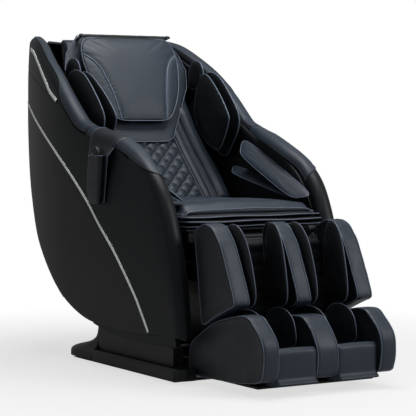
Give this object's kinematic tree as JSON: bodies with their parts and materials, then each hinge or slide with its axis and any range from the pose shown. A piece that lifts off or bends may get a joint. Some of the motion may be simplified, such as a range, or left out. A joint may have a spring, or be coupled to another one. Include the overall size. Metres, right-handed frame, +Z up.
{
  "type": "massage chair",
  "caption": "Full-body massage chair on a sliding base, with tall side shells, quilted back, airbag pads, calf rest and extending footrest.",
  "frame": {"origin": "on the floor, at the middle of the chair's length and width", "axes": "+Z up; the sitter faces -Y; +X is the sitter's left"},
  "size_m": [0.7792, 1.585, 1.1775],
  "materials": {
    "leather": "satin",
    "leather_dark": "satin",
    "shell": "satin",
    "shell_rear": "satin",
    "silver": "polished",
    "base_plastic": "matte",
    "black_plastic": "matte",
    "steel": "satin",
    "bright_steel": "brushed",
    "rubber": "matte",
    "switch_red": "gloss"
  },
  "bodies": {
    "base": {"base_frame": "steel", "rail_cover_left": "base_plastic", "rail_cover_right": "base_plastic", "base_rear_cover": "base_plastic", "base_feet": "rubber", "power_inlet": "black_plastic"},
    "power_switch": {"power_switch": "switch_red"},
    "wheel_left": {"wheel_left": "rubber"},
    "wheel_right": {"wheel_right": "rubber"},
    "sled": {"sled_frame": "steel", "recline_actuator": "black_plastic"},
    "recline_rod": {"recline_rod": "bright_steel"},
    "chair_body": {"seat_frame": "steel", "back_frame": "steel", "main_panel_left": "shell", "main_panel_right": "shell", "rear_panel_left": "shell_rear", "rear_panel_right": "shell_rear", "wing_panel_left": "shell", "wing_panel_right": "shell", "silver_trim_left": "silver", "silver_trim_right": "silver", "edge_band_left": "leather", "edge_band_right": "leather", "skirt": "shell", "back_cover": "shell", "armrest_pad_left": "leather", "armrest_pad_right": "leather", "inner_panel_left": "leather_dark", "inner_panel_right": "leather_dark", "arm_airbags_left": "leather_dark", "arm_airbags_right": "leather_dark", "back_pad": "leather", "drape_flap": "leather", "shoulder_airbags_left": "leather_dark", "shoulder_airbags_right": "leather_dark", "seat_cushion": "leather", "seat_airbags": "leather_dark", "legrest_actuator": "black_plastic", "holster": "leather_dark", "air_pump": "black_plastic"},
    "legrest_rod": {"legrest_rod": "bright_steel"},
    "pillow": {"head_pillow": "leather"},
    "remote": {"remote": "black_plastic"},
    "calf_rest": {"calf_frame": "steel", "calf_back": "leather_dark", "calf_wall_left": "leather", "calf_wall_centre": "leather", "calf_wall_right": "leather", "calf_airbags": "leather_dark"},
    "foot_rest": {"foot_frame": "black_plastic", "foot_wall_left": "leather", "foot_wall_centre": "leather", "foot_wall_right": "leather", "foot_soles": "leather", "ankle_airbags": "leather_dark"},
    "carriage": {"carriage_frame": "black_plastic"},
    "walk_shaft": {"walk_shaft": "bright_steel"},
    "kneading_shaft": {"kneading_shaft": "bright_steel"},
    "massage_arms": {"massage_arms": "black_plastic"}
  },
  "joints": [
    {"name": "body_slide", "type": "slide", "parent": "base", "child": "sled", "axis": [0, -1, 0], "range_m": [0, 0.17]},
    {"name": "body_tilt", "type": "hinge", "parent": "sled", "child": "chair_body", "pos_m": [0, 0.17, 0.125], "axis": [-1, 0, 0], "range_deg": [0, 26]},
    {"name": "recline_rod_slide", "type": "slide", "parent": "sled", "child": "recline_rod", "axis": [0, 1, 0], "range_m": [0, 0.0676]},
    {"name": "legrest_lift", "type": "hinge", "parent": "chair_body", "child": "calf_rest", "pos_m": [0, -0.41, 0.492], "axis": [-1, 0, 0], "range_deg": [0, 80]},
    {"name": "legrest_rod_slide", "type": "slide", "parent": "chair_body", "child": "legrest_rod", "axis": [0, -1, 0], "range_m": [0, 0.1081]},
    {"name": "footrest_slide", "type": "slide", "parent": "calf_rest", "child": "foot_rest", "axis": [0, -0.1456, -0.9893], "range_m": [0, 0.1501]},
    {"name": "massage_travel", "type": "hinge", "parent": "chair_body", "child": "carriage", "pos_m": [0, -1.43028, 1.93675], "axis": [1, 0, 0], "range_deg": [0, 9]},
    {"name": "walk_spin", "type": "hinge", "parent": "carriage", "child": "walk_shaft", "pos_m": [0, 0.38789, 0.58434], "axis": [1, 0, 0], "range_deg": [-740, 0]},
    {"name": "kneading_spin", "type": "hinge", "parent": "carriage", "child": "kneading_shaft", "pos_m": [0, 0.45812, 0.68763], "axis": [1, 0, 0], "continuous": true},
    {"name": "arm_tap", "type": "hinge", "parent": "carriage", "child": "massage_arms", "pos_m": [0, 0.45812, 0.68763], "axis": [1, 0, 0], "range_deg": [-2.5, 2.5]},
    {"name": "pillow_flip", "type": "hinge", "parent": "chair_body", "child": "pillow", "pos_m": [0, 0.5511, 1.17012], "axis": [-1, 0, 0], "range_deg": [0, 165]},
    {"name": "remote_lift", "type": "slide", "parent": "chair_body", "child": "remote", "axis": [0, 0, 1], "range_m": [0, 0.18]},
    {"name": "switch_rock", "type": "hinge", "parent": "base", "child": "power_switch", "pos_m": [-0.04, 0.4285, 0.029], "axis": [1, 0, 0], "range_deg": [-10, 10]},
    {"name": "wheel_left_spin", "type": "hinge", "parent": "base", "child": "wheel_left", "pos_m": [0, 0.378, 0.025], "axis": [1, 0, 0], "continuous": true},
    {"name": "wheel_right_spin", "type": "hinge", "parent": "base", "child": "wheel_right", "pos_m": [0, 0.378, 0.025], "axis": [1, 0, 0], "continuous": true}
  ],
  "couplings": [
    {"joint": "body_slide", "follows": "body_tilt", "m_per_rad": 0.37463},
    {"joint": "recline_rod_slide", "follows": "body_tilt", "m_per_rad": 0.14872},
    {"joint": "legrest_rod_slide", "follows": "legrest_lift", "m_per_rad": 0.07734},
    {"joint": "footrest_slide", "follows": "legrest_lift", "m_per_rad": 0.10743},
    {"joint": "walk_spin", "follows": "massage_travel", "ratio": -81.929}
  ]
}
